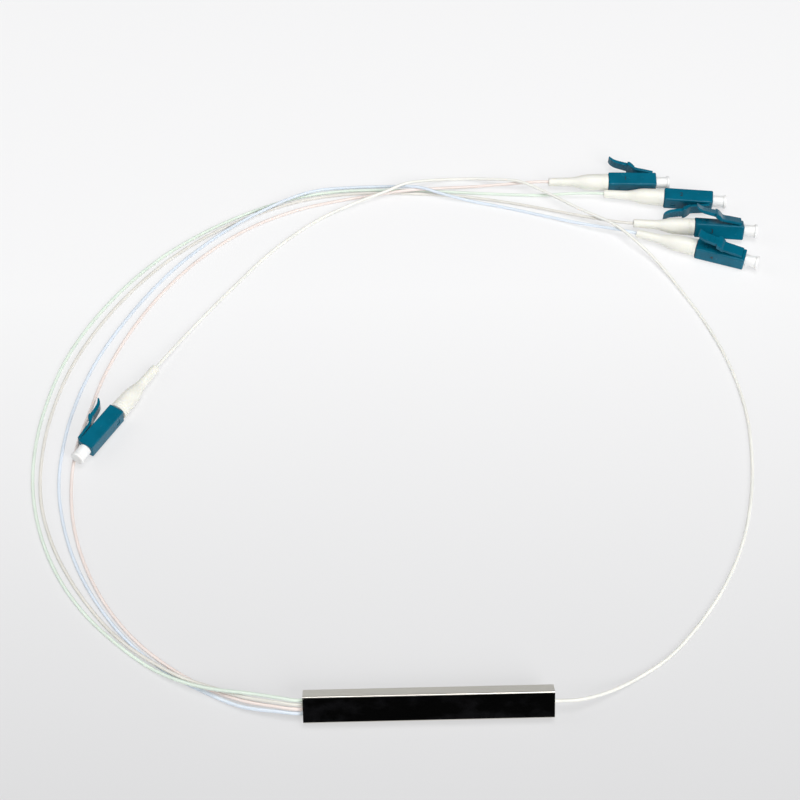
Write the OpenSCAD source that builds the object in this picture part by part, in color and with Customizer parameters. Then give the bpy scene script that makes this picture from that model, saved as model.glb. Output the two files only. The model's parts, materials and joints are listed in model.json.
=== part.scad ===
// One-in four-out planar lightwave circuit (PLC) splitter in a steel-tube mini module, with
// 0.9 mm pigtails and simplex LC plugs. Units are millimetres, +Z is up and the ground is z = 0.
// The origin is the middle of the module's footprint and +X runs along the module.
//
// A plug is drawn in its own frame: the origin is the centre of its mating face, +X is the way
// it plugs in and +Z is the side of its latch. plug_place() lays it where it rests.

/* [Module tube] */
// Length of the steel tube
tube_len = 60; // [50:0.5:80]
// Width of the tube's wide face
tube_w = 7; // [6.6:0.1:10]
// Thickness of the tube across its narrow face
tube_t = 4; // [3.6:0.1:6]
// Wall of the tube
tube_wall = 0.3; // [0.2:0.05:0.45]
// Outer corner radius of the tube
tube_corner_r = 0.3; // [0.2:0.05:0.5]
// Angle of the wide face's normal above the horizontal, as the module leans
tube_lean = 37; // [0:1:60]

/* [Label film] */
// Bare strip beside the black film, up to the wide face's round edges
film_margin = 0.02; // [0:0.01:0.5]
// Thickness of the film
film_t = 0.06; // [0.04:0.01:0.2]

/* [End seals] */
// Depth of each end seal
seal_len = 4; // [2.5:0.1:6]
// How far each seal lies back from the tube's end
seal_recess = 0.2; // [0:0.05:0.5]
// Gap round each seal
seal_gap = 0.02; // [0.01:0.01:0.1]
// Pitch of the four output pigtails in their seal
port_pitch = 1.15; // [1.05:0.05:1.4]

/* [Splitter chip] */
// Length of the waveguide chip
chip_len = 13; // [9:0.5:16]
// Width of the chip and of both fibre arrays
chip_w = 2.6; // [2:0.1:4]
// Thickness of the silica chip
chip_t = 1; // [0.8:0.05:1.2]
// Thickness of the glass lid on the chip
lid_t = 1; // [0.8:0.05:1.2]
// Length of each fibre array block
array_len = 7; // [4:0.5:9]
// Overall height of each fibre array block
array_t = 2.2; // [1.8:0.1:2.6]
// Width of the four V-grooves' span
groove_pitch = 0.25; // [0.25:0.01:0.4]
// Diameter of a coated fibre
fibre_d = 0.25; // [0.2:0.01:0.25]

/* [Pigtails] */
// Outer diameter of the loose-tube pigtails
cord_d = 0.9; // [0.6:0.05:0.9]
// Radial gap round a pigtail in a seal or a plug
cord_gap = 0.05; // [0.03:0.01:0.08]
// Distance between the rings of a pigtail's tube
ring_step = 4.9; // [4.9:0.1:8]

/* [Plug housing] */
// Width and height of the square housing
house_w = 4.42; // [4.3:0.02:4.8]
// Length of the housing
house_len = 14.4; // [13.5:0.1:18]
// Radius of the housing's long edges and chamfer of its front edge
house_edge = 0.3; // [0.1:0.05:0.4]
// Radius of the corners at the housing's rear end
rear_corner_r = 0.7; // [0.45:0.05:0.8]
// Radius of the round socket in the mating face
socket_r = 1.6; // [1.5:0.02:1.7]
// Depth of the socket
socket_depth = 2.4; // [2.3:0.1:2.7]
// Thickness of the inner wall that the ferrule's flange seats on
seat_wall = 0.7; // [0.5:0.1:1]
// Radius of the hole in the inner wall
seat_hole_r = 0.72; // [0.7:0.01:0.8]
// Radius of the spring chamber behind the inner wall
chamber_r = 1.6; // [1.55:0.01:1.7]

/* [Latch] */
// Radius of the latch's root, about which it flexes
root_r = 0.35; // [0.3:0.01:0.4]
// Running gap round the root
root_gap = 0.03; // [0.02:0.01:0.06]
// Distance of the root's axis behind the mating face
root_back = 1.25; // [1.1:0.05:1.6]
// Height of the root's axis above the housing
root_up = 0.1; // [0.08:0.01:0.15]
// Width of the root plate
plate_w = 3.3; // [2.8:0.05:3.6]
// Width across the two catch shoulders
shoulder_w = 4; // [3.7:0.05:4.4]
// Width of the thumb tab
thumb_w = 2.7; // [2:0.05:3]

/* [Ferrule] */
// Radius of the zirconia ferrule
ferrule_r = 0.6245; // [0.62:0.0005:0.63]
// How far the ferrule stands out of the mating face
ferrule_proud = 1.8; // [1.5:0.1:2.1]
// Radius of the fibre bore through the ferrule
fibre_bore_r = 0.063; // [0.063:0.001:0.07]
// Radius across the corners of the metal flange's hexagonal collar
collar_r = 1.4; // [1.3:0.05:1.5]
// Length of the collar
collar_len = 1.2; // [0.9:0.1:1.5]
// Radius of the flange's tail inside the spring
tail_r = 0.85; // [0.8:0.01:0.88]
// Length of the flange's tail
tail_len = 3; // [2.4:0.1:3.2]
// Depth that the ferrule is pressed into the flange
press_depth = 1.5; // [1:0.1:1.8]

/* [Spring] */
// Outer radius of the spring
spring_r = 1.3; // [1.25:0.01:1.4]
// Radius of the spring's wire
wire_r = 0.12; // [0.1:0.01:0.14]
// Turns of the spring
spring_turns = 6; // [4:1:7]
// Length of the fitted spring
spring_len = 4.4; // [4:0.1:4.8]

/* [Rear body] */
// Gap round the rear body in the chamber
rear_gap = 0.03; // [0.02:0.01:0.06]
// Radius of the rear body's tail under the boot
spigot_r = 1.3; // [1.2:0.05:1.4]
// Length of that tail
spigot_len = 5; // [4:0.1:6]
// Radius of the bore behind the spring
rear_bore_r = 1; // [0.95:0.01:1.05]

/* [Boot] */
// Length of the boot
boot_len = 17.7; // [15:0.1:22]
// Radius of the boot at the housing
boot_r = 2.55; // [2.3:0.05:2.8]
// Radius of the boot at its tip
tip_r = 1.2; // [1.1:0.05:1.4]
// Distance of the flare's start from the tip
flare_start = 6; // [4:0.1:7]
// Distance of the flare's end from the tip
flare_end = 12.4; // [11.5:0.1:14]

/* [Dust cap] */
// Radial gap between the cap and the socket
cap_gap = 0.05; // [0.03:0.01:0.08]
// Radial gap between the cap and the ferrule
cap_bore_gap = 0.05; // [0.03:0.01:0.08]
// Length of the cap inside the socket
cap_inside = 2.1; // [1.6:0.1:2.2]
// Length of the cap in front of the mating face
cap_outside = 4; // [3.2:0.1:5]
// Radius of the cap's neck
cap_neck_r = 1.7; // [1.62:0.02:1.84]
// Radius of the cap's pull flange
cap_flange_r = 2; // [1.9:0.05:2.1]
// Thickness of the pull flange
cap_flange_t = 0.8; // [0.5:0.1:1.2]

/* [Hidden] */
$fn = 48;

// Plugs and pigtails are numbered: 0 is the input, 1 to 4 are the outputs.
INPUT = 0;

// Where the tip of each plug's boot lies (x, y)
BOOT_TIP = [[-71.7, 103.8], [42, 170.6], [58.2, 165.7], [65.6, 153.1], [66.2, 149.4]];
// Heading of each plug seen from above, its nose-up pitch and its roll about its own axis
PLUG_YAW = [-121.5, -2, -7.8, -6.5, -20];
PLUG_PITCH = [2, 0, 1.2, 0, 0];
PLUG_ROLL = [86, -82, 96, -22, 3];
// How far each plug's latch has set: down towards its housing, or up where negative
LATCH_SET = [3, -6, 0, 0, 0];

// Place of each output pigtail in the module's end, in pitches from the middle, top one first
PORT_SLOT = [0, -0.5, 1.5, 0.5, -1.5];

// Free run of each pigtail from the module to its plug
ROUTE_IN = [
    [36, 0.3, 3.6], [43, 2.7, 2.1], [51, 6.9, 0.8], [60, 13, 0.5], [69, 22.5, 0.5],
    [76.5, 33, 0.5], [82.5, 45, 0.5], [86.5, 58, 0.5], [88.8, 72, 0.5], [89.3, 86, 0.5],
    [87.3, 101, 0.5], [83, 115.5, 0.5], [77.5, 128, 0.6], [71, 139.5, 1.6], [64.5, 147.3, 3.2],
    [60, 152, 3.6], [50, 159.3, 3], [41, 166, 2.9], [33, 170.5, 3.2], [24, 173, 1.7],
    [15, 174.3, 0.6], [6, 173, 1.6], [-1, 170.7, 3], [-7, 168.2, 2.3], [-16, 164.8, 1.3],
    [-27, 159, 0.5], [-40, 147.5, 0.5], [-53, 131.5, 0.5], [-63, 117.5, 1]
];
ROUTE_1 = [
    [-36, 0.4, 3.2], [-45, 2.9, 2], [-54, 7.2, 0.7], [-63, 12.9, 0.5], [-72, 20.6, 0.5],
    [-80, 30.7, 0.5], [-86, 42, 0.5], [-90, 54, 0.5], [-91.8, 67, 0.5], [-91.4, 79, 0.5],
    [-89, 90, 0.5], [-86, 102.5, 0.5], [-80.5, 116.5, 0.5], [-72, 131.5, 0.5], [-61, 145, 0.5],
    [-48, 155.7, 0.5], [-34, 162.7, 0.5], [-20, 166.6, 0.5], [-10, 168.1, 0.9], [-3, 168.8, 1.6],
    [8, 169.8, 1.5], [18, 170.8, 0.8], [28, 170.9, 1.5]
];
ROUTE_2 = [
    [-36, 2, 4.9], [-44, 3.9, 4], [-52, 5.6, 3], [-60, 8.5, 1.8], [-67.5, 12.7, 0.7],
    [-76, 19.3, 0.5], [-85, 28.2, 0.5], [-92.5, 38.8, 0.5], [-98.3, 51.5, 0.5], [-101.7, 65, 0.5],
    [-102.5, 79, 0.5], [-101, 93, 0.5], [-96.5, 110, 0.5], [-87, 128, 0.5], [-74, 144, 0.5],
    [-60, 155.2, 0.5], [-46, 163, 0.5], [-33, 168, 0.5], [-20, 170.2, 0.5], [-8, 170.4, 0.5],
    [4, 169.8, 0.5], [16, 168.8, 0.5], [28, 167.8, 0.5], [40, 166.9, 0.8], [48, 166.5, 1.7]
];
ROUTE_3 = [
    [-36, 1.1, 4.1], [-44, 3.2, 3], [-52, 6.4, 2], [-60, 9.7, 1.6], [-67, 13.8, 1.5],
    [-73, 18.2, 1.2], [-80, 25.2, 0.5], [-88.5, 36.5, 0.5], [-95.2, 49, 0.5], [-99.3, 62, 0.5],
    [-100.4, 76, 0.5], [-99.2, 90, 0.5], [-94.8, 107, 0.5], [-85.8, 125, 0.5], [-73, 141.7, 0.5],
    [-59.5, 153.4, 0.5], [-46.5, 161, 0.5], [-33, 166.4, 0.5], [-20, 168.8, 0.5], [-8, 169.2, 0.5],
    [4, 168.5, 0.5], [16, 167.2, 0.5], [30, 164.3, 0.5], [43, 160.5, 0.8], [52, 157.1, 1.7]
];
ROUTE_4 = [
    [-36, -0.4, 2.3], [-45, 1.6, 1.3], [-54, 6, 0.5], [-63, 11.2, 0.5], [-72, 18.6, 0.5],
    [-80, 28, 0.5], [-87, 39.5, 0.5], [-92, 52, 0.5], [-95, 66, 0.5], [-95, 80, 0.5],
    [-92.8, 94, 0.5], [-88, 109, 0.5], [-79.5, 125.5, 0.5], [-69.5, 140, 0.5], [-59, 151.2, 0.5],
    [-50, 158.2, 1], [-42, 163, 1.6], [-34, 167.4, 1.7], [-27, 170.1, 1.3], [-19, 171.6, 0.5],
    [-11, 171.8, 0.5], [-4, 171.1, 1.3], [3, 169.2, 2.8], [10, 167.2, 1.9], [18, 165.2, 0.8],
    [29, 162.3, 0.5], [40, 158.7, 0.6], [51, 154.6, 1.4]
];
ROUTES = [ROUTE_IN, ROUTE_1, ROUTE_2, ROUTE_3, ROUTE_4];

// Straight runs of a pigtail: past a boot's tip, and out of the module's end
TIP_STRAIGHT = 3;
END_STRAIGHT = 2;
CORD_SIDES = 8;

// Colours
STEEL = [0.72, 0.72, 0.69];
FILM = [0.02, 0.02, 0.02];
SEAL = [0.92, 0.91, 0.86];
SILICA = [0.75, 0.82, 0.85];
GLASS = [0.86, 0.92, 0.93];
TEAL = [0, 0.35, 0.45];
IVORY = [0.95, 0.94, 0.89];
WHITE = [0.97, 0.97, 0.97];
ZIRCONIA = [0.93, 0.93, 0.9];
METAL = [0.78, 0.76, 0.7];
CORD_COLOURS = [
    [0.95, 0.95, 0.92], [0.96, 0.86, 0.83], [0.85, 0.93, 0.86], [0.88, 0.86, 0.81],
    [0.85, 0.89, 0.95]
];

// ---- Module: helpers ----

// Height of the module's axis: the lowest point of its rounded section touches the ground
tube_axis_z = (tube_w / 2 - tube_corner_r) * cos(tube_lean)
    + (tube_t / 2 - tube_corner_r) * sin(tube_lean) + tube_corner_r;
inner_w = tube_w - 2 * tube_wall;
inner_t = tube_t - 2 * tube_wall;

// Lays the module's own frame (Y across its thickness, Z across its width) into its lean
module module_place() {
    translate([0, 0, tube_axis_z]) rotate([-tube_lean, 0, 0]) children();
}

// A point of the module's own frame, in the part's frame
function in_module(p) = [
    p.x,
    p.y * cos(tube_lean) + p.z * sin(tube_lean),
    -p.y * sin(tube_lean) + p.z * cos(tube_lean) + tube_axis_z
];

// Rectangle in the YZ plane with quarter-round corners, extruded along X
module rounded_bar(len, t, w, r) {
    union() {
        cube([len, t - 2 * r, w], center = true);
        cube([len, t, w - 2 * r], center = true);
        for (sy = [-1, 1], sz = [-1, 1])
            translate([0, sy * (t / 2 - r), sz * (w / 2 - r)])
                rotate([0, 90, 0]) cylinder(r = r, h = len, center = true);
    }
}

// ---- Module: pieces ----

module steel_tube() {
    color(STEEL) module_place() difference() {
        rounded_bar(tube_len, tube_t, tube_w, tube_corner_r);
        cube([tube_len + 2, inner_t, inner_w], center = true);
    }
}

module label_film() {
    width = tube_w - 2 * (tube_corner_r + film_margin);
    color(FILM) module_place()
        translate([-tube_len / 2, -tube_t / 2 - film_t, -width / 2]) cube([tube_len, film_t, width]);
}

// Plug of potting compound, with a hole for each pigtail at the given heights
module end_seal(side, heights) {
    hole_r = cord_d / 2 + cord_gap;
    end_x = side * (tube_len / 2 - seal_recess - seal_len / 2);
    color(SEAL) module_place() translate([end_x, 0, 0]) difference() {
        cube([seal_len, inner_t - 2 * seal_gap, inner_w - 2 * seal_gap], center = true);
        for (h = heights)
            translate([0, 0, h]) rotate([0, 90, 0])
                cylinder(r = hole_r, h = seal_len + 2, center = true);
    }
}

module input_seal() { end_seal(1, [0]); }
module output_seal() { end_seal(-1, [for (i = [1:4]) PORT_SLOT[i] * port_pitch]); }

// The chip and its lid lie on the inner wall behind the label; the arrays are glued to its ends
stack_y = -inner_t / 2;

module plc_chip() {
    color(SILICA) module_place()
        translate([-chip_len / 2, stack_y, -chip_w / 2]) cube([chip_len, chip_t, chip_w]);
}

module chip_lid() {
    color(GLASS) module_place()
        translate([-chip_len / 2, stack_y + chip_t, -chip_w / 2]) cube([chip_len, lid_t, chip_w]);
}

// Glass block that holds the fibres level with the chip's waveguides
module fibre_array(side, heights) {
    near_x = side * chip_len / 2;
    bore_r = fibre_d / 2 + seal_gap;
    color(GLASS) module_place() difference() {
        translate([side > 0 ? near_x : near_x - array_len, stack_y, -chip_w / 2])
            cube([array_len, array_t, chip_w]);
        for (h = heights)
            translate([near_x + side * array_len / 2, stack_y + chip_t, h]) rotate([0, 90, 0])
                cylinder(r = bore_r, h = array_len + 2, center = true, $fn = 24);
    }
}

ARRAY_HEIGHTS = [for (i = [1:4]) PORT_SLOT[i] * groove_pitch];

module input_array() { fibre_array(1, [0]); }
module output_array() { fibre_array(-1, ARRAY_HEIGHTS); }

// Coated fibre from the chip's face through its array to where its pigtail begins
function inner_run(side, h_array, h_port) = let (
    near_x = chip_len / 2,
    far_x = near_x + array_len,
    cord_x = tube_len / 2 - END_STRAIGHT,
    y = stack_y + chip_t
) [for (p = [
    [near_x, y, h_array], [far_x, y, h_array], [far_x + 0.6, y, h_array],
    [(far_x + cord_x) / 2, y / 2, (h_array + h_port) / 2],
    [cord_x - 0.6, 0, h_port], [cord_x, 0, h_port]
]) in_module([side * p.x, p.y, p.z])];

module input_fibre() { color(WHITE) sweep(inner_run(1, 0, 0), fibre_d / 2, 6); }

module output_fibres() {
    color(WHITE) for (i = [1:4])
        sweep(inner_run(-1, PORT_SLOT[i] * groove_pitch, PORT_SLOT[i] * port_pitch), fibre_d / 2, 6);
}

// ---- Swept tubes ----

function unit(v) = v / norm(v);

// Closed tube along a path: one ring of points square to the path at each of its points
module sweep(path, r, sides) {
    n = len(path);
    rings = [for (i = [0:n - 1]) let (
        along = unit(path[min(i + 1, n - 1)] - path[max(i - 1, 0)]),
        across = unit(cross([0, 0, 1], along)),
        over = cross(along, across)
    ) for (k = [0:sides - 1]) let (a = 360 * k / sides)
        path[i] + r * (across * cos(a) + over * sin(a))];
    polyhedron(
        points = rings,
        faces = concat(
            [[for (k = [0:sides - 1]) k]],
            [[for (k = [sides - 1:-1:0]) (n - 1) * sides + k]],
            [for (i = [0:n - 2], k = [0:sides - 1]) let (
                a = i * sides + k, b = i * sides + (k + 1) % sides
            ) [a, a + sides, b + sides, b]]
        )
    );
}

// One point of a centripetal Catmull-Rom curve between b and c, with neighbours a and d
function blend(p, q, tp, tq, t) = (p * (tq - t) + q * (t - tp)) / (tq - tp);
function spline_point(a, b, c, d, u) = let (
    t1 = sqrt(norm(b - a)), t2 = t1 + sqrt(norm(c - b)), t3 = t2 + sqrt(norm(d - c)),
    t = t1 + (t2 - t1) * u,
    ab = blend(a, b, 0, t1, t), bc = blend(b, c, t1, t2, t), cd = blend(c, d, t2, t3, t)
) blend(blend(ab, bc, 0, t2, t), blend(bc, cd, t1, t3, t), t1, t2, t);

// `count` points of the curve through the list p, from its point i towards the next
function spline_span(p, i, count) = let (
    n = len(p),
    a = i > 0 ? p[i - 1] : 2 * p[0] - p[1],
    d = i < n - 2 ? p[i + 2] : 2 * p[n - 1] - p[n - 2]
) [for (j = [0:count - 1]) spline_point(a, p[i], p[i + 1], d, j / count)];

// The curve through all points, with `count` points a span
function smooth(p, count) =
    concat([for (i = [0:len(p) - 2]) each spline_span(p, i, count)], [p[len(p) - 1]]);

// The curve through all points, with a ring about every `step`, never below the ground
function spline(p, step, low) = concat(
    [for (i = [0:len(p) - 2]) let (count = max(1, round(norm(p[i + 1] - p[i]) / step)))
        for (q = spline_span(p, i, count)) [q.x, q.y, max(q.z, low)]],
    [p[len(p) - 1]]
);

// ---- Plugs: helpers ----

plug_len = house_len + boot_len;

// Height of a plug's axis where its boot meets the housing: the boot or a housing edge rests
function plug_axis_z(i) = max(
    boot_r, house_w / 2 * (abs(cos(PLUG_ROLL[i])) + abs(sin(PLUG_ROLL[i])))
) + 0.04;

function plug_heading(i) = [
    cos(PLUG_YAW[i]) * cos(PLUG_PITCH[i]), sin(PLUG_YAW[i]) * cos(PLUG_PITCH[i]),
    sin(PLUG_PITCH[i])
];

// A point on a plug's axis, `s` in front of its boot's tip
function plug_axis(i, s) = [
    BOOT_TIP[i].x, BOOT_TIP[i].y, plug_axis_z(i) - boot_len * sin(PLUG_PITCH[i])
] + s * plug_heading(i);

module plug_place(i) {
    translate(plug_axis(i, plug_len)) rotate([PLUG_ROLL[i], -PLUG_PITCH[i], PLUG_YAW[i]]) children();
}

// Turns a profile of [x, r] points about the plug's X axis
module turned(profile) {
    rotate([0, 90, 0]) rotate_extrude()
        polygon([for (p = profile) [p.y, p.x]]);
}

function arc(cx, cy, r, a0, a1, n) =
    [for (k = [0:n]) let (a = a0 + (a1 - a0) * k / n) [cx + r * cos(a), cy + r * sin(a)]];

// ---- Plugs: housing ----

chamber_front = -socket_depth - seat_wall;
rear_front = chamber_front - collar_len - spring_len;
window_len = 1.3;
window_w = 1.6;
window_mid = (rear_front - house_len) / 2;

// Outline of the housing along its length: cut corners in front, round corners behind
function house_outline() = let (h = house_w / 2, r = rear_corner_r, c = house_edge) concat(
    [[0, -h + c], [0, h - c], [-c, h]],
    arc(-house_len + r, h - r, r, 90, 180, 5),
    arc(-house_len + r, -h + r, r, 180, 270, 5),
    [[-c, -h]]
);

// Section of the housing: a square with round corners
function house_section() = let (c = house_w / 2 - house_edge)
    [for (q = [0:3]) each arc(c * sign(cos(90 * q + 45)), c * sign(sin(90 * q + 45)),
        house_edge, 90 * q, 90 * q + 90, 3)];

module housing(i) {
    color(TEAL) plug_place(i) difference() {
        intersection() {
            rotate([0, -90, 0]) linear_extrude(house_len) polygon(house_section());
            linear_extrude(house_w + 1, center = true) polygon(house_outline());
            rotate([90, 0, 0]) linear_extrude(house_w + 1, center = true) polygon(house_outline());
        }
        // round socket, ferrule hole and spring chamber
        rotate([0, -90, 0]) translate([0, 0, -1]) cylinder(r = socket_r, h = socket_depth + 1);
        rotate([0, -90, 0]) cylinder(r = seat_hole_r, h = house_len);
        translate([chamber_front, 0, 0]) rotate([0, -90, 0]) cylinder(r = chamber_r, h = house_len);
        // windows for the rear body's two snap ears
        translate([window_mid, 0, 0]) cube([window_len, window_w, house_w + 1], center = true);
        // seat of the latch's root
        latch_root() rotate([90, 0, 0])
            cylinder(r = root_r + root_gap, h = plate_w + 2 * root_gap, center = true);
    }
}

// ---- Plugs: latch ----

// The latch is drawn about its root's axis: x in front of it, z above it
module latch_root() {
    translate([-root_back, 0, house_w / 2 + root_up]) children();
}

// Side outline of the latch, as [distance behind the root's axis, height above it]: a root plate,
// the step of the catch shoulders and a thumb tab with an upturned end
shoulder_front = 5.3;
shoulder_back = 7.4;
latch_end = 13.1;
LATCH_OUTER = [
    [0, 0.88], [2.7, 1.28], [shoulder_front - 0.2, 1.66], [6, 2.5], [6.8, 3.08], [shoulder_back, 3.14],
    [9.4, 3.52], [11.2, 3.9], [12.3, 4.5], [12.9, 4.98]
];
LATCH_INNER = [
    [latch_end, 4.7], [12.5, 3.8], [11.4, 3.05], [9.4, 2.48], [shoulder_back, 2], [6.4, 1.45],
    [shoulder_front, 0.92], [2.7, 0.45], [0.75, 0.18]
];
grip_back = [8.4, 9.1, 9.8];

// Height of the thumb tab's outer face above the root's axis, at a distance behind it
function thumb_height(d) = 3.14 + (3.9 - 3.14) * (d - shoulder_back) / (11.2 - shoulder_back);

module latch(i) {
    color(TEAL) plug_place(i) latch_root() rotate([0, -LATCH_SET[i], 0]) union() {
        difference() {
            rotate([90, 0, 0]) linear_extrude(shoulder_w, center = true)
                polygon([for (p = concat(
                    [[-0.3, 0.02], [-0.3, 0.88]], smooth(LATCH_OUTER, 3), smooth(LATCH_INNER, 3)
                )) [-p.x, p.y]]);
            // narrower beside the root plate and beside the thumb tab
            for (s = [-1, 1]) {
                translate([-shoulder_front, s * (plate_w + 4) / 2, 0])
                    translate([0, -2, -1]) cube([shoulder_front + 1, 4, 6]);
                translate([-latch_end - 1, s * (thumb_w + 4) / 2, 0])
                    translate([0, -2, 0]) cube([latch_end + 1 - shoulder_back, 4, 7]);
            }
            // grip grooves across the thumb tab
            for (d = grip_back)
                translate([-d, 0, thumb_height(d) + 0.1]) rotate([90, 0, 0])
                    cylinder(r = 0.2, h = shoulder_w + 1, center = true, $fn = 24);
        }
        rotate([90, 0, 0]) cylinder(r = root_r, h = plate_w, center = true);
    }
}

// ---- Plugs: ferrule, flange and spring ----

ferrule_back = chamber_front - press_depth;

module ferrule(i) {
    tip = ferrule_proud;
    back = ferrule_back;
    color(ZIRCONIA) plug_place(i) turned([
        [back, fibre_bore_r], [back, ferrule_r - 0.1], [back + 0.1, ferrule_r],
        [tip - 0.35, ferrule_r], [tip - 0.04, ferrule_r - 0.2], [tip, ferrule_r - 0.35],
        [tip, fibre_bore_r]
    ]);
}

// The hexagonal collar seats on the housing's inner wall, with the ferrule pressed into its front
module flange(i) {
    front = chamber_front;
    back = front - collar_len - tail_len;
    color(METAL) plug_place(i) difference() {
        union() {
            translate([front, 0, 0]) rotate([0, -90, 0])
                cylinder(r = collar_r, h = collar_len, $fn = 6);
            translate([front, 0, 0]) rotate([0, -90, 0])
                cylinder(r = tail_r, h = collar_len + tail_len);
        }
        // seat of the ferrule and hole for the fibre
        translate([ferrule_back, 0, 0]) rotate([0, 90, 0])
            cylinder(r = ferrule_r + 0.004, h = press_depth + 1);
        translate([back - 1, 0, 0]) rotate([0, 90, 0]) cylinder(r = fibre_d, h = tail_len + 2);
    }
}

module spring(i) {
    per_turn = 10;
    front = chamber_front - collar_len - wire_r;
    back = rear_front + wire_r;
    mean_r = spring_r - wire_r;
    count = spring_turns * per_turn;
    color(METAL) plug_place(i) coil([for (k = [0:count]) let (a = 360 * k / per_turn)
        [front + (back - front) * k / count, mean_r * cos(a), mean_r * sin(a)]]);
}

// Wire of the spring: each ring lies in a plane through the plug's axis
module coil(path) {
    sides = 5;
    n = len(path);
    rings = [for (p = path) let (out = unit([0, p.y, p.z]))
        for (k = [0:sides - 1]) let (a = 360 * k / sides)
            p + wire_r * (out * cos(a) + [1, 0, 0] * sin(a))];
    polyhedron(
        points = rings,
        faces = concat(
            [[for (k = [sides - 1:-1:0]) k]],
            [[for (k = [0:sides - 1]) (n - 1) * sides + k]],
            [for (i = [0:n - 2], k = [0:sides - 1]) let (
                a = i * sides + k, b = i * sides + (k + 1) % sides
            ) [a, b, b + sides, a + sides]]
        )
    );
}

// ---- Plugs: rear body, boot and dust cap ----

module rear_body(i) {
    r = chamber_r - rear_gap;
    back = -house_len;
    hole_r = cord_d / 2 + cord_gap;
    ear_gap = 0.05;
    color(TEAL) plug_place(i) difference() {
        union() {
            turned([
                [rear_front, 0], [rear_front, r], [back, r], [back, spigot_r],
                [back - spigot_len, spigot_r], [back - spigot_len, 0]
            ]);
            // barbs that grip the boot
            for (k = [1:3])
                translate([back - k * spigot_len / 4, 0, 0]) turned([
                    [0, 0], [0, spigot_r + 0.15], [-0.6, spigot_r], [-0.6, 0]
                ]);
            // snap ears in the housing's windows
            intersection() {
                translate([window_mid, 0, 0])
                    cube([window_len - 2 * ear_gap, window_w - 2 * ear_gap, house_w], center = true);
                translate([rear_front, 0, 0]) rotate([0, -90, 0])
                    cylinder(r = house_w / 2 - ear_gap, h = house_len);
            }
        }
        translate([rear_front + 1, 0, 0]) rotate([0, -90, 0])
            cylinder(r = rear_bore_r, h = 1 + (rear_front + house_len) * 0.6);
        translate([rear_front, 0, 0]) rotate([0, -90, 0]) cylinder(r = hole_r, h = 20);
    }
}

// Radius of the boot at a distance from its tip: a slim tail, a smooth flare and a barrel
function boot_radius(s) = let (
    slim = tip_r + 0.15 * s / flare_start,
    full = boot_r - 0.15 * (boot_len - s) / (boot_len - flare_end),
    u = min(1, max(0, (s - flare_start) / (flare_end - flare_start)))
) s <= flare_start ? slim : s >= flare_end ? full
    : (tip_r + 0.15) + (boot_r - 0.15 - tip_r - 0.15) * (1 - cos(180 * u)) / 2;

module boot(i) {
    steps = 9;
    back = -house_len;
    tip = back - boot_len;
    flare = [for (k = [0:steps]) flare_start + (flare_end - flare_start) * k / steps];
    rings = [0.9, 1.7];
    pocket_r = spigot_r + 0.2;
    pocket = spigot_len + 0.3;
    bore_r = cord_d / 2 + cord_gap;
    color(IVORY) plug_place(i) turned(concat(
        [[back, pocket_r], [back - pocket, pocket_r], [back - pocket - 1, bore_r], [tip, bore_r],
         [tip, tip_r - 0.15], [tip + 0.15, tip_r]],
        [for (s = flare) [tip + s, boot_radius(s)]],
        // two shallow rings near the wide end
        [for (k = [1, 0]) each [
            [back - rings[k] - 0.15, boot_radius(boot_len - rings[k])],
            [back - rings[k], boot_radius(boot_len - rings[k]) - 0.07],
            [back - rings[k] + 0.15, boot_radius(boot_len - rings[k])]
        ]],
        [[back - 0.1, boot_r], [back, boot_r - 0.1]]
    ));
}

module dust_cap(i) {
    inner_r = ferrule_r + cap_bore_gap;
    plug_r = socket_r - cap_gap;
    bottom = ferrule_proud + 0.4;
    stop = 0.02;
    rim = cap_outside - cap_flange_t;
    color(WHITE) plug_place(i) turned([
        [-cap_inside, inner_r], [-cap_inside, plug_r - 0.15], [-cap_inside + 0.2, plug_r],
        [stop, plug_r], [stop, cap_neck_r], [rim, cap_neck_r], [rim, cap_flange_r - 0.08],
        [rim + 0.08, cap_flange_r], [cap_outside - 0.15, cap_flange_r],
        [cap_outside, cap_flange_r - 0.15], [cap_outside, 0], [bottom, 0], [bottom, inner_r]
    ]);
}

// ---- Pigtails ----

// Start inside the module's end seal, the free run, and the stretch inside the plug
function cord_points(i) = let (
    side = i == INPUT ? 1 : -1,
    h = PORT_SLOT[i] * port_pitch,
    end_x = tube_len / 2
) concat(
    [in_module([side * (end_x - END_STRAIGHT), 0, h]), in_module([side * (end_x + END_STRAIGHT), 0, h])],
    ROUTES[i],
    [plug_axis(i, -TIP_STRAIGHT), plug_axis(i, 0), plug_axis(i, boot_len / 2), plug_axis(i, boot_len - 1.5)]
);

module pigtail(i) {
    color(CORD_COLOURS[i]) sweep(spline(cord_points(i), ring_step, cord_d / 2), cord_d / 2, CORD_SIDES);
}

// ---- Nodes ----

steel_tube();
label_film();
input_seal();
output_seal();
plc_chip();
chip_lid();
input_array();
output_array();
input_fibre();
output_fibres();

for (i = [0:4]) {
    tag = i == INPUT ? "in" : str(i);
    pigtail(i);
    housing(i);
    latch(i);
    ferrule(i);
    flange(i);
    spring(i);
    rear_body(i);
    boot(i);
    dust_cap(i);
}
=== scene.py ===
"""Dresses the fibre splitter: its pigtails and springs, every finish, the port numbers, the studio.

Everything is in metres, in the CAD model's frame: +X runs along the module towards its input end,
the plugs lie beyond the loop at +Y, and the ground is z = 0.
"""
import json
import math

import bmesh
import bpy
from mathutils import Matrix, Vector


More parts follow.
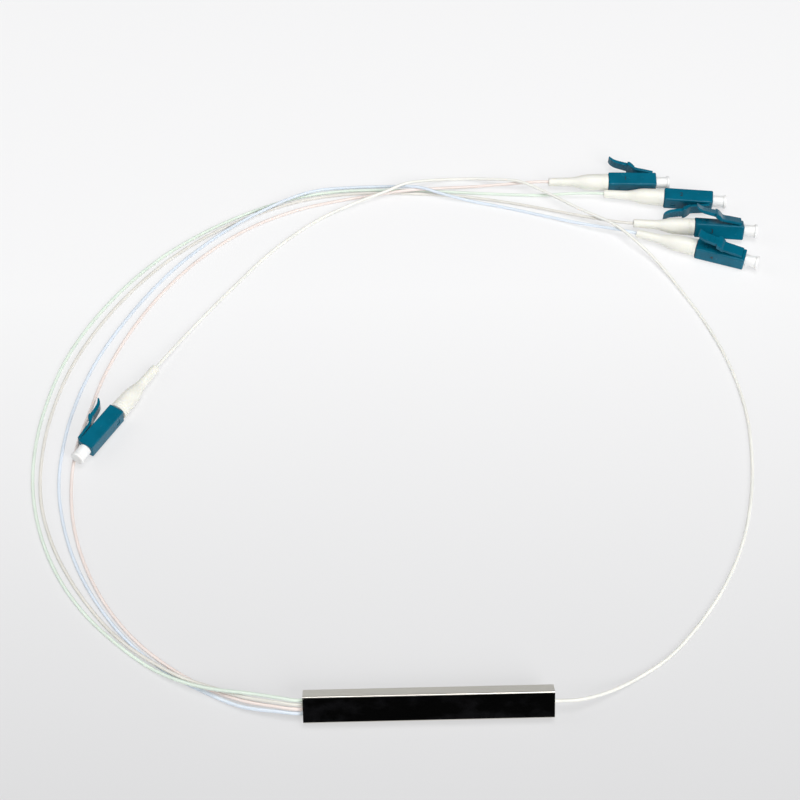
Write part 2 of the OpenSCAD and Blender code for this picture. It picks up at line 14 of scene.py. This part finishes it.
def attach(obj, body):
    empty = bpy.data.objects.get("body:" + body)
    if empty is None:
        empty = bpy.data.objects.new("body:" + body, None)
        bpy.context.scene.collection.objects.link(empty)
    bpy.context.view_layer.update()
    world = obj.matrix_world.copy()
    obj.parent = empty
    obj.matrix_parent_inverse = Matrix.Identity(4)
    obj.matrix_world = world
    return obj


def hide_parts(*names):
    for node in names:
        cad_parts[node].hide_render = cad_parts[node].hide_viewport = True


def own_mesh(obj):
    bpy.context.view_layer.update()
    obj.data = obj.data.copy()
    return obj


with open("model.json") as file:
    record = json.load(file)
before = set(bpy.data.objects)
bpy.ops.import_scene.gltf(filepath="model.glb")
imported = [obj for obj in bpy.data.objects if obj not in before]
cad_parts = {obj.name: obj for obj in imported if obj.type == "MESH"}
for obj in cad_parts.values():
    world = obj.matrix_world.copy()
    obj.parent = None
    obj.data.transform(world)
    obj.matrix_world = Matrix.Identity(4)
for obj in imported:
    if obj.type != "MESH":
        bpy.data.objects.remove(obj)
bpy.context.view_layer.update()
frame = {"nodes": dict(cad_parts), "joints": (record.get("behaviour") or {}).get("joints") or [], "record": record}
record = frame["record"]

TAGS = ("in", "1", "2", "3", "4")

# ---- Sizes ----

CORD_D = 0.0009
CORD_STEP = 0.0012        # distance between a pigtail's points
TUBE_LEN = 0.06
END_STRAIGHT = 0.002      # a pigtail's straight run, each way from the module's end
TIP_STRAIGHT = 0.003      # and in front of a boot's tip
HOUSE_W = 0.00442
HOUSE_LEN = 0.0144
BOOT_LEN = 0.0177
CORD_END_BACK = 0.0015    # where a pigtail ends, behind the housing
SAME_PLACE = 0.00001      # points closer than this are taken as one

# Free run of each pigtail, from the module to its plug
ROUTES = {
    "in": [
        (0.036, 0.0003, 0.0036), (0.043, 0.0027, 0.0021), (0.051, 0.0069, 0.0008),
        (0.06, 0.013, 0.0005), (0.069, 0.0225, 0.0005), (0.0765, 0.033, 0.0005),
        (0.0825, 0.045, 0.0005), (0.0865, 0.058, 0.0005), (0.0888, 0.072, 0.0005),
        (0.0893, 0.086, 0.0005), (0.0873, 0.101, 0.0005), (0.083, 0.1155, 0.0005),
        (0.0775, 0.128, 0.0006), (0.071, 0.1395, 0.0016), (0.0645, 0.1473, 0.0032),
        (0.06, 0.152, 0.0036), (0.05, 0.1593, 0.003), (0.041, 0.166, 0.0029),
        (0.033, 0.1705, 0.0032), (0.024, 0.173, 0.0017), (0.015, 0.1743, 0.0006),
        (0.006, 0.173, 0.0016), (-0.001, 0.1707, 0.003), (-0.007, 0.1682, 0.0023),
        (-0.016, 0.1648, 0.0013), (-0.027, 0.159, 0.0005), (-0.04, 0.1475, 0.0005),
        (-0.053, 0.1315, 0.0005), (-0.063, 0.1175, 0.001),
    ],
    "1": [
        (-0.036, 0.0004, 0.0032), (-0.045, 0.0029, 0.002), (-0.054, 0.0072, 0.0007),
        (-0.063, 0.0129, 0.0005), (-0.072, 0.0206, 0.0005), (-0.08, 0.0307, 0.0005),
        (-0.086, 0.042, 0.0005), (-0.09, 0.054, 0.0005), (-0.0918, 0.067, 0.0005),
        (-0.0914, 0.079, 0.0005), (-0.089, 0.09, 0.0005), (-0.086, 0.1025, 0.0005),
        (-0.0805, 0.1165, 0.0005), (-0.072, 0.1315, 0.0005), (-0.061, 0.145, 0.0005),
        (-0.048, 0.1557, 0.0005), (-0.034, 0.1627, 0.0005), (-0.02, 0.1666, 0.0005),
        (-0.01, 0.1681, 0.0009), (-0.003, 0.1688, 0.0016), (0.008, 0.1698, 0.0015),
        (0.018, 0.1708, 0.0008), (0.028, 0.1709, 0.0015),
    ],
    "2": [
        (-0.036, 0.002, 0.0049), (-0.044, 0.0039, 0.004), (-0.052, 0.0056, 0.003),
        (-0.06, 0.0085, 0.0018), (-0.0675, 0.0127, 0.0007), (-0.076, 0.0193, 0.0005),
        (-0.085, 0.0282, 0.0005), (-0.0925, 0.0388, 0.0005), (-0.0983, 0.0515, 0.0005),
        (-0.1017, 0.065, 0.0005), (-0.1025, 0.079, 0.0005), (-0.101, 0.093, 0.0005),
        (-0.0965, 0.11, 0.0005), (-0.087, 0.128, 0.0005), (-0.074, 0.144, 0.0005),
        (-0.06, 0.1552, 0.0005), (-0.046, 0.163, 0.0005), (-0.033, 0.168, 0.0005),
        (-0.02, 0.1702, 0.0005), (-0.008, 0.1704, 0.0005), (0.004, 0.1698, 0.0005),
        (0.016, 0.1688, 0.0005), (0.028, 0.1678, 0.0005), (0.04, 0.1669, 0.0008),
        (0.048, 0.1665, 0.0017),
    ],
    "3": [
        (-0.036, 0.0011, 0.0041), (-0.044, 0.0032, 0.003), (-0.052, 0.0064, 0.002),
        (-0.06, 0.0097, 0.0016), (-0.067, 0.0138, 0.0015), (-0.073, 0.0182, 0.0012),
        (-0.08, 0.0252, 0.0005), (-0.0885, 0.0365, 0.0005), (-0.0952, 0.049, 0.0005),
        (-0.0993, 0.062, 0.0005), (-0.1004, 0.076, 0.0005), (-0.0992, 0.09, 0.0005),
        (-0.0948, 0.107, 0.0005), (-0.0858, 0.125, 0.0005), (-0.073, 0.1417, 0.0005),
        (-0.0595, 0.1534, 0.0005), (-0.0465, 0.161, 0.0005), (-0.033, 0.1664, 0.0005),
        (-0.02, 0.1688, 0.0005), (-0.008, 0.1692, 0.0005), (0.004, 0.1685, 0.0005),
        (0.016, 0.1672, 0.0005), (0.03, 0.1643, 0.0005), (0.043, 0.1605, 0.0008),
        (0.052, 0.1571, 0.0017),
    ],
    "4": [
        (-0.036, -0.0004, 0.0023), (-0.045, 0.0016, 0.0013), (-0.054, 0.006, 0.0005),
        (-0.063, 0.0112, 0.0005), (-0.072, 0.0186, 0.0005), (-0.08, 0.028, 0.0005),
        (-0.087, 0.0395, 0.0005), (-0.092, 0.052, 0.0005), (-0.095, 0.066, 0.0005),
        (-0.095, 0.08, 0.0005), (-0.0928, 0.094, 0.0005), (-0.088, 0.109, 0.0005),
        (-0.0795, 0.1255, 0.0005), (-0.0695, 0.14, 0.0005), (-0.059, 0.1512, 0.0005),
        (-0.05, 0.1582, 0.001), (-0.042, 0.163, 0.0016), (-0.034, 0.1674, 0.0017),
        (-0.027, 0.1701, 0.0013), (-0.019, 0.1716, 0.0005), (-0.011, 0.1718, 0.0005),
        (-0.004, 0.1711, 0.0013), (0.003, 0.1692, 0.0028), (0.01, 0.1672, 0.0019),
        (0.018, 0.1652, 0.0008), (0.029, 0.1623, 0.0005), (0.04, 0.1587, 0.0006),
        (0.051, 0.1546, 0.0014),
    ],
}

# Studio
WORLD_STRENGTH = 0.02
WORLD_COLOR = (0.95, 0.97, 1)
LOOP_MIDDLE = (0, 0.08, 0)
# Each softbox's place, size across and power in watts
SOFTBOXES = {
    "top_softbox": ((0.1, 0.07, 0.88), 0.6, 5),
    "front_softbox": ((0.65, -0.9, 0.8), 0.9, 14),
    "side_softbox": ((-0.85, 0.25, 0.6), 0.9, 3.5),
}
CAMERA_PLACE = (-0.01114, -0.17332, 0.36615)
CAMERA_TARGET = (-0.00458, 0.09262, 0)
CAMERA_LENS = 74.45       # mm, on a sensor 36 mm wide
TABLE_HALF = 15           # half the table's width
GLOW_SHARE = 0.68         # how much of the table's tone is the same in light and shadow
# painted shade: between these two places the table's colour darkens towards the near side, standing in for light
# falling off towards the camera
TABLE_NEAR = -0.08        # the table darkens towards here, on this side of the module,
TABLE_FAR = 0.13          # from here, inside the loop's far edge
TABLE_CLEAR = 0.3         # from here the table fades to the backdrop's tone,
TABLE_FADED = 1.4         # and reaches it here

# Tints of the pigtails, the only colour code of the ports
CORD_TINTS = {
    "in": (0.84, 0.84, 0.79),
    "1": (0.83, 0.74, 0.7),
    "2": (0.73, 0.82, 0.73),
    "3": (0.74, 0.72, 0.67),
    "4": (0.7, 0.77, 0.85),
}
TEAL = (0.001, 0.117, 0.188)
IVORY = (0.84, 0.835, 0.77)
CAP_WHITE = (0.88, 0.88, 0.87)
STEEL = (0.7, 0.68, 0.62)
FILM = (0.0008, 0.0008, 0.0008)
INK = (0.002, 0.012, 0.02)
# painted shade: the table's darker colour on its near side, standing in for light falling off towards the camera
PAPER_NEAR_PAINTED_SHADE = (0.625, 0.625, 0.632)
PAPER_FAR = (0.92, 0.92, 0.925)
BACKDROP = (0.86, 0.865, 0.875)

NOISE_RANGE = (0.3, 0.7)  # where most of a noise texture's values lie


# ---- Material helpers ----

def new_material(name, color, roughness=0.5, metallic=0.0, more=()):
    """A Principled material. more holds (socket, value) pairs for its further sockets."""
    material = bpy.data.materials.new(name)
    material.use_nodes = True
    bsdf = material.node_tree.nodes["Principled BSDF"]
    bsdf.inputs["Base Color"].default_value = (*color, 1)
    bsdf.inputs["Roughness"].default_value = roughness
    bsdf.inputs["Metallic"].default_value = metallic
    for key, value in more:
        bsdf.inputs[key].default_value = value
    return material


def soft_inside(weight, scale, radius):
    """Sockets for light that scatters under the surface, over a scale in metres."""
    return [("Subsurface Weight", weight), ("Subsurface Scale", scale),
            ("Subsurface Radius", radius)]


def add_node(material, kind, **settings):
    node = material.node_tree.nodes.new(kind)
    for key, value in settings.items():
        setattr(node, key, value)
    return node


def link(material, output, target):
    material.node_tree.links.new(output, target)


def bsdf_input(material, name):
    return material.node_tree.nodes["Principled BSDF"].inputs[name]


def noise(material, scale, stretch=(1, 1, 1), detail=3.0, roughness=0.5):
    """Noise over the object's own coordinates, finer along an axis with more stretch."""
    coords = add_node(material, "ShaderNodeTexCoord")
    mapping = add_node(material, "ShaderNodeMapping")
    mapping.inputs["Scale"].default_value = stretch
    texture = add_node(material, "ShaderNodeTexNoise")
    texture.inputs["Scale"].default_value = scale
    texture.inputs["Detail"].default_value = detail
    texture.inputs["Roughness"].default_value = roughness
    link(material, coords.outputs["Object"], mapping.inputs["Vector"])
    link(material, mapping.outputs["Vector"], texture.inputs["Vector"])
    return texture.outputs["Fac"]


def ramp(material, factor, stops):
    """Colour ramp from (place, colour) stops."""
    node = add_node(material, "ShaderNodeValToRGB")
    elements = node.color_ramp.elements
    while len(elements) < len(stops):
        elements.new(0.5)
    for element, (place, color) in zip(elements, stops):
        element.position = place
        element.color = (*color, 1)
    link(material, factor, node.inputs["Fac"])
    return node.outputs["Color"]


def map_range(material, value, bounds, results):
    """The value's bounds mapped linearly to the results, and clamped there."""
    node = add_node(material, "ShaderNodeMapRange")
    for name, number in zip(("From Min", "From Max", "To Min", "To Max"), (*bounds, *results)):
        node.inputs[name].default_value = number
    link(material, value, node.inputs["Value"])
    return node.outputs["Result"]


def mottle(material, value, color, dark, light):
    """Base colour that varies with a noise value, from dark to light times the given colour."""
    stops = list(zip(NOISE_RANGE, (shade(color, dark), shade(color, light))))
    link(material, ramp(material, value, stops), bsdf_input(material, "Base Color"))


def roughen(material, value, low, high):
    """Roughness that varies with a noise value."""
    result = map_range(material, value, NOISE_RANGE, (low, high))
    link(material, result, bsdf_input(material, "Roughness"))


def bump(material, height, depth, normal=None):
    """Bump of the given depth in metres."""
    node = add_node(material, "ShaderNodeBump")
    node.inputs["Distance"].default_value = depth
    link(material, height, node.inputs["Height"])
    if normal is not None:
        link(material, normal, node.inputs["Normal"])
    link(material, node.outputs["Normal"], bsdf_input(material, "Normal"))
    return node.outputs["Normal"]


def shade(color, factor):
    return tuple(min(1.0, c * factor) for c in color)


# ---- Materials ----

def teal_plastic():
    """Satin moulded plastic: faint flow marks in its colour and a fine spark-eroded texture."""
    material = new_material("teal_plastic", TEAL, 0.3, more=[("Specular IOR Level", 0.2)])
    mottle(material, noise(material, 260, detail=4), TEAL, 0.88, 1.12)
    roughen(material, noise(material, 700), 0.2, 0.28)
    edge = add_node(material, "ShaderNodeBevel", samples=6)
    edge.inputs["Radius"].default_value = 0.00025
    bump(material, noise(material, 9000, detail=2), 0.000003, edge.outputs["Normal"])
    return material


def ivory_plastic():
    """Soft ivory moulding with a little light in it."""
    inside = soft_inside(0.15, 0.0006, (1, 0.8, 0.5))
    material = new_material("ivory_plastic", IVORY, 0.45, more=inside)
    mottle(material, noise(material, 320, detail=4), IVORY, 0.965, 1.02)
    roughen(material, noise(material, 900), 0.38, 0.52)
    bump(material, noise(material, 7000, detail=2), 0.000004)
    return material


def cap_plastic():
    """White, slightly translucent polyethylene."""
    inside = soft_inside(0.35, 0.0008, (1, 0.95, 0.9))
    material = new_material("cap_plastic", CAP_WHITE, 0.36, more=inside)
    mottle(material, noise(material, 500), CAP_WHITE, 0.975, 1.015)
    bump(material, noise(material, 6000, detail=2), 0.000003)
    return material


def cord_plastic(tag):
    """Smooth, slightly translucent loose tube, with the faint tone changes of an extrusion."""
    tint = CORD_TINTS[tag]
    inside = soft_inside(0.25, 0.0003, (1, 0.9, 0.8))
    material = new_material(f"cord_{tag}", tint, 0.45, more=inside)
    mottle(material, noise(material, 120), tint, 0.95, 1.04)
    bump(material, noise(material, 2500, detail=2), 0.000001)
    return material


def drawn_steel():
    """Stainless tube with fine draw lines along its length."""
    material = new_material("drawn_steel", STEEL, 0.34, 1.0)
    lines = noise(material, 300, (0.15, 60, 60), 4, 0.65)
    mottle(material, lines, STEEL, 0.9, 1.08)
    roughen(material, lines, 0.26, 0.42)
    bump(material, lines, 0.000004)
    return material


def black_film():
    """Glossy black film: faint smears and haze, and a few specks of dust."""
    material = new_material("black_film", FILM, 0.12)
    smear = noise(material, 220, (0.5, 1, 1), 5, 0.6)
    roughen(material, smear, 0.05, 0.14)
    coords = add_node(material, "ShaderNodeTexCoord")
    specks = add_node(material, "ShaderNodeTexVoronoi", feature="F1")
    specks.inputs["Scale"].default_value = 420
    link(material, coords.outputs["Object"], specks.inputs["Vector"])
    tint = ramp(
        material, specks.outputs["Distance"],
        [(0.0, (0.012, 0.012, 0.012)), (0.055, (0.005, 0.005, 0.005)), (0.075, FILM)])
    haze = ramp(
        material, noise(material, 150, (0.6, 1, 1), 4, 0.6),
        [(0.5, FILM), (0.72, (0.007, 0.007, 0.008))])
    both = add_node(material, "ShaderNodeMixRGB", blend_type="LIGHTEN")
    both.inputs["Fac"].default_value = 1
    link(material, tint, both.inputs["Color1"])
    link(material, haze, both.inputs["Color2"])
    link(material, both.outputs["Color"], bsdf_input(material, "Base Color"))
    bump(material, smear, 0.000006)
    return material


def plated_metal():
    material = new_material("plated_metal", (0.7, 0.68, 0.6), 0.25, 1.0)
    roughen(material, noise(material, 2000), 0.2, 0.34)
    return material


def ceramic():
    inside = soft_inside(0.2, 0.0005, (1, 1, 1))
    material = new_material("ceramic", (0.84, 0.84, 0.8), 0.12, more=inside)
    roughen(material, noise(material, 900), 0.08, 0.16)
    return material


def potting():
    """Cured sealant, with small bubbles and an uneven surface."""
    inside = soft_inside(0.3, 0.0008, (1, 0.9, 0.7))
    material = new_material("potting", (0.8, 0.78, 0.7), 0.55, more=inside)
    lumps = noise(material, 1500, detail=4)
    stops = list(zip(NOISE_RANGE, ((0.74, 0.71, 0.62), (0.84, 0.82, 0.75))))
    tint = ramp(material, lumps, stops)
    link(material, tint, bsdf_input(material, "Base Color"))
    bump(material, lumps, 0.00003)
    return material


def clear_glass(name, color):
    material = new_material(name, color, 0.04, more=[("Transmission Weight", 0.9), ("IOR", 1.46)])
    roughen(material, noise(material, 1200), 0.02, 0.1)
    return material


def fibre_coating():
    material = new_material("fibre_coating", (0.85, 0.83, 0.75), 0.25)
    roughen(material, noise(material, 3000), 0.2, 0.35)
    return material


def port_ink():
    material = new_material("port_ink", INK, 0.5)
    roughen(material, noise(material, 6000), 0.4, 0.65)
    return material


def seen_directly(material):
    """1 for rays that show the surface, to the camera, in a mirror or through glass, else 0."""
    rays = add_node(material, "ShaderNodeLightPath")
    total = rays.outputs["Is Camera Ray"]
    for name in ("Is Glossy Ray", "Is Transmission Ray"):
        either = add_node(material, "ShaderNodeMath", operation="MAXIMUM")
        link(material, total, either.inputs[0])
        link(material, rays.outputs[name], either.inputs[1])
        total = either.outputs[0]
    return total


def table_paper():
    """Pale table whose colour holds painted shade, lighter on its far side and darker towards its near side, that
    fades to the backdrop's tone far from the object.

    Part of its tone is even, so that its shadows stay faint.
    """
    material = bpy.data.materials.new("table_paper")
    # The even part is only seen, and lights nothing
    material.cycles.emission_sampling = "NONE"
    material.use_nodes = True
    material.node_tree.nodes.clear()
    coords = add_node(material, "ShaderNodeTexCoord")
    split = add_node(material, "ShaderNodeSeparateXYZ")
    link(material, coords.outputs["Object"], split.inputs["Vector"])
    # painted shade: the table's colour darkens from its far side towards its near side, in place of light falling
    # off
    depth = map_range(material, split.outputs["Y"], (TABLE_NEAR, TABLE_FAR), (0, 1))
    painted_falloff_tone = ramp(material, depth, [(0, PAPER_NEAR_PAINTED_SHADE), (1, PAPER_FAR)])
    away = add_node(material, "ShaderNodeVectorMath", operation="DISTANCE")
    away.inputs[1].default_value = LOOP_MIDDLE
    link(material, coords.outputs["Object"], away.inputs[0])
    bounds = (TABLE_CLEAR, TABLE_FADED)
    tone = add_node(material, "ShaderNodeMixRGB")
    tone.inputs["Color2"].default_value = (*BACKDROP, 1)
    fading = map_range(material, away.outputs["Value"], bounds, (0, 1))
    link(material, fading, tone.inputs["Fac"])
    link(material, painted_falloff_tone, tone.inputs["Color1"])
    diffuse = add_node(material, "ShaderNodeBsdfDiffuse")
    glow = add_node(material, "ShaderNodeEmission")
    link(material, tone.outputs["Color"], diffuse.inputs["Color"])
    link(material, tone.outputs["Color"], glow.inputs["Color"])
    share = add_node(material, "ShaderNodeMath", operation="MULTIPLY")
    link(material, seen_directly(material), share.inputs[0])
    evenness = map_range(material, away.outputs["Value"], bounds, (GLOW_SHARE, 1))
    link(material, evenness, share.inputs[1])
    mixed = add_node(material, "ShaderNodeMixShader")
    output = add_node(material, "ShaderNodeOutputMaterial")
    link(material, share.outputs[0], mixed.inputs["Fac"])
    link(material, diffuse.outputs[0], mixed.inputs[1])
    link(material, glow.outputs[0], mixed.inputs[2])
    link(material, mixed.outputs[0], output.inputs["Surface"])
    return material


def dress(material, *nodes):
    """Gives CAD nodes one material."""
    for name in nodes:
        slots = frame["nodes"][name].data.materials
        slots.clear()
        slots.append(material)


# ---- Plug frames ----

mounts = {mount["name"]: mount for mount in record["mounts"]}
joints = {joint["name"]: joint for joint in frame["joints"]}


def plug_frame(tag):
    """Frame of a plug: origin in its mating face, X the way it plugs in, Z its latch's side."""
    mount = mounts[f"lc_plug_{tag}"]
    x = Vector(mount["axis"]).normalized()
    y = -Vector(joints[f"latch_{tag}_press"]["axis"]).normalized()
    placed = Matrix((x, y, x.cross(y))).transposed().to_4x4()
    placed.translation = Vector(mount["pos_m"])
    return placed


# ---- Springs ----

SPRING_BACK = 0.0087      # its rear end, behind the mating face
SPRING_LEN = 0.0044
SPRING_R = 0.0013
SPRING_TURNS = 6
WIRE_R = 0.00012
WIRE_SIDES = 10
COIL_STEPS = 24           # in each turn


def make_spring(tag, metal):
    """Coil behind a plug's flange."""
    along = Vector((1, 0, 0))
    front = SPRING_LEN - SPRING_BACK - WIRE_R
    back = WIRE_R - SPRING_BACK
    steps = SPRING_TURNS * COIL_STEPS
    mesh = bpy.data.meshes.new(f"coil_{tag}")
    wire = bmesh.new()
    rings = []
    for k in range(steps + 1):
        turn = math.tau * k / COIL_STEPS
        out = Vector((0, math.cos(turn), math.sin(turn)))
        centre = along * (front + (back - front) * k / steps) + out * (SPRING_R - WIRE_R)
        around = [math.tau * j / WIRE_SIDES for j in range(WIRE_SIDES)]
        rings.append([
            wire.verts.new(centre + WIRE_R * (math.cos(a) * out + math.sin(a) * along))
            for a in around])
    for ring, ahead in zip(rings, rings[1:]):
        for j in range(WIRE_SIDES):
            face = wire.faces.new((ring[j - 1], ring[j], ahead[j], ahead[j - 1]))
            face.smooth = True
    wire.faces.new(rings[0])
    wire.faces.new(rings[-1])
    bmesh.ops.recalc_face_normals(wire, faces=wire.faces)
    wire.to_mesh(mesh)
    wire.free()
    mesh.materials.append(metal)
    spring = bpy.data.objects.new(f"coil_{tag}", mesh)
    bpy.context.scene.collection.objects.link(spring)
    placed = plug_frame(tag)
    spring.matrix_world = placed
    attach(spring, "splitter")
    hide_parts(f"spring_{tag}")
    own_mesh(spring)
    return spring


# ---- Pigtails ----

def module_end(tag, distance):
    """Point on a port's axis at a distance from the module's middle, from where its cord leaves."""
    side = 1 if tag == "in" else -1
    ring = [v.co for v in frame["nodes"][f"pigtail_{tag}"].data.vertices
            if abs(v.co.x - side * (TUBE_LEN / 2 - END_STRAIGHT)) < SAME_PLACE]
    centre = sum(ring, Vector()) / len(ring)
    return Vector((side * distance, centre.y, centre.z))


def cord_points(tag):
    """A pigtail's points: inside the module's end seal, its free run, and into its plug."""
    placed = plug_frame(tag)
    on_axis = (HOUSE_LEN + BOOT_LEN + TIP_STRAIGHT, HOUSE_LEN + BOOT_LEN,
               HOUSE_LEN + BOOT_LEN / 2, HOUSE_LEN + CORD_END_BACK)
    return [
        module_end(tag, TUBE_LEN / 2 - END_STRAIGHT),
        module_end(tag, TUBE_LEN / 2 + END_STRAIGHT),
        *[Vector(point) for point in ROUTES[tag]],
        *[placed @ Vector((-back, 0, 0)) for back in on_axis],
    ]


def spline_point(a, b, c, d, u):
    """Point of the centripetal Catmull-Rom curve between b and c."""
    t1 = math.sqrt((b - a).length)
    t2 = t1 + math.sqrt((c - b).length)
    t3 = t2 + math.sqrt((d - c).length)
    t = t1 + (t2 - t1) * u
    ab = a.lerp(b, t / t1)
    bc = b.lerp(c, (t - t1) / (t2 - t1))
    cd = c.lerp(d, (t - t2) / (t3 - t2))
    return ab.lerp(bc, t / t2).lerp(bc.lerp(cd, (t - t1) / (t3 - t1)), u)


def spline(points):
    """Close points along the curve through all the given ones, never below the ground."""
    ahead = 2 * points[0] - points[1]
    past = 2 * points[-1] - points[-2]
    padded = [ahead, *points, past]
    line = []
    for a, b, c, d in zip(padded, padded[1:], padded[2:], padded[3:]):
        count = max(1, round((c - b).length / CORD_STEP))
        line += [spline_point(a, b, c, d, k / count) for k in range(count)]
    line.append(points[-1])
    for point in line:
        point.z = max(point.z, CORD_D / 2)
    return line


def make_cord(tag, spring):
    points = spline(cord_points(tag))
    curve = bpy.data.curves.new(f"cord_{tag}", "CURVE")
    curve.dimensions = "3D"
    curve.bevel_depth = CORD_D / 2
    curve.bevel_resolution = 4
    curve.use_fill_caps = True
    line = curve.splines.new("POLY")
    line.points.add(len(points) - 1)
    for target, point in zip(line.points, points):
        target.co = (*point, 1)
    line.use_smooth = True
    cord = bpy.data.objects.new(f"cord_{tag}", curve)
    bpy.context.scene.collection.objects.link(cord)
    curve.materials.append(cord_plastic(tag))
    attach(cord, "splitter")
    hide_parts(f"pigtail_{tag}")


# ---- Port numbers ----

DIGIT_H = 0.0013
DIGIT_BACK = 0.0093       # behind the mating face
DIGIT_PROUD = 0.000012
DIGIT_BOLD = 0.00003      # each stroke's edge moves out by this
CAP_SHARE = 0.7           # height of a digit, as a share of the font's size
# The side face that carries each number, along the plug's Y
DIGIT_SIDES = {"1": -1, "2": 1, "3": -1, "4": -1}


def make_digit(tag, side, ink):
    """Plain number on a housing's side face; side is -1 or 1, the way along the plug's Y."""
    text = bpy.data.curves.new(f"port_number_{tag}", "FONT")
    text.body = tag
    text.size = DIGIT_H / CAP_SHARE
    text.align_x = "CENTER"
    text.align_y = "CENTER"
    text.extrude = DIGIT_PROUD
    text.offset = DIGIT_BOLD
    digit = bpy.data.objects.new(f"port_number_{tag}", text)
    bpy.context.scene.collection.objects.link(digit)
    right = Vector((1, 0, 0))
    out = Vector((0, side, 0))
    turn = Matrix((right, out.cross(right), out)).transposed().to_4x4()
    turn.translation = Vector((-DIGIT_BACK, side * HOUSE_W / 2, 0))
    digit.matrix_world = plug_frame(tag) @ turn
    text.materials.append(ink)
    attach(digit, "splitter")


# ---- Dressing ----

plated = plated_metal()
for tag in TAGS:
    make_cord(tag, make_spring(tag, plated))

ink = port_ink()
for tag, side in DIGIT_SIDES.items():
    make_digit(tag, side, ink)

teal = teal_plastic()
ivory = ivory_plastic()
cap = cap_plastic()
ferrule = ceramic()
for tag in TAGS:
    dress(teal, f"housing_{tag}", f"latch_{tag}", f"rear_body_{tag}")
    dress(ivory, f"boot_{tag}")
    dress(cap, f"dust_cap_{tag}")
    dress(ferrule, f"ferrule_{tag}")
    dress(plated, f"flange_{tag}")
dress(drawn_steel(), "steel_tube")
dress(black_film(), "label_film")
dress(potting(), "input_seal", "output_seal")
dress(clear_glass("silica_chip", (0.8, 0.88, 0.9)), "plc_chip")
dress(clear_glass("ground_glass", (0.88, 0.93, 0.93)), "chip_lid", "input_array", "output_array")
dress(fibre_coating(), "input_fibre", "output_fibres")


# ---- Studio ----

def make_table():
    size = TABLE_HALF
    mesh = bpy.data.meshes.new("table")
    corners = [(-size, -size, 0), (size, -size, 0), (size, size, 0), (-size, size, 0)]
    mesh.from_pydata(corners, [], [(0, 1, 2, 3)])
    mesh.materials.append(table_paper())
    table = bpy.data.objects.new("table", mesh)
    bpy.context.scene.collection.objects.link(table)


def aim(thing, place, target):
    thing.location = place
    thing.rotation_euler = (Vector(target) - Vector(place)).to_track_quat("-Z", "Y").to_euler()
    bpy.context.scene.collection.objects.link(thing)


def make_lamp(name, place, size, power):
    light = bpy.data.lights.new(name, "AREA")
    light.shape = "DISK"
    light.size = size
    light.energy = power
    aim(bpy.data.objects.new(name, light), place, LOOP_MIDDLE)


def make_world():
    world = bpy.data.worlds.new("studio")
    world.use_nodes = True
    background = world.node_tree.nodes["Background"]
    background.inputs["Color"].default_value = (*WORLD_COLOR, 1)
    background.inputs["Strength"].default_value = WORLD_STRENGTH
    bpy.context.scene.world = world


def make_camera():
    camera = bpy.data.cameras.new("camera")
    camera.lens = CAMERA_LENS
    camera.sensor_width = 36
    camera.clip_start = 0.01
    camera.clip_end = 40
    placed = bpy.data.objects.new("camera", camera)
    aim(placed, CAMERA_PLACE, CAMERA_TARGET)
    bpy.context.scene.camera = placed


make_table()
make_world()
for name, (place, size, power) in SOFTBOXES.items():
    make_lamp(name, place, size, power)
make_camera()
bpy.context.scene.view_settings.view_transform = "Standard"
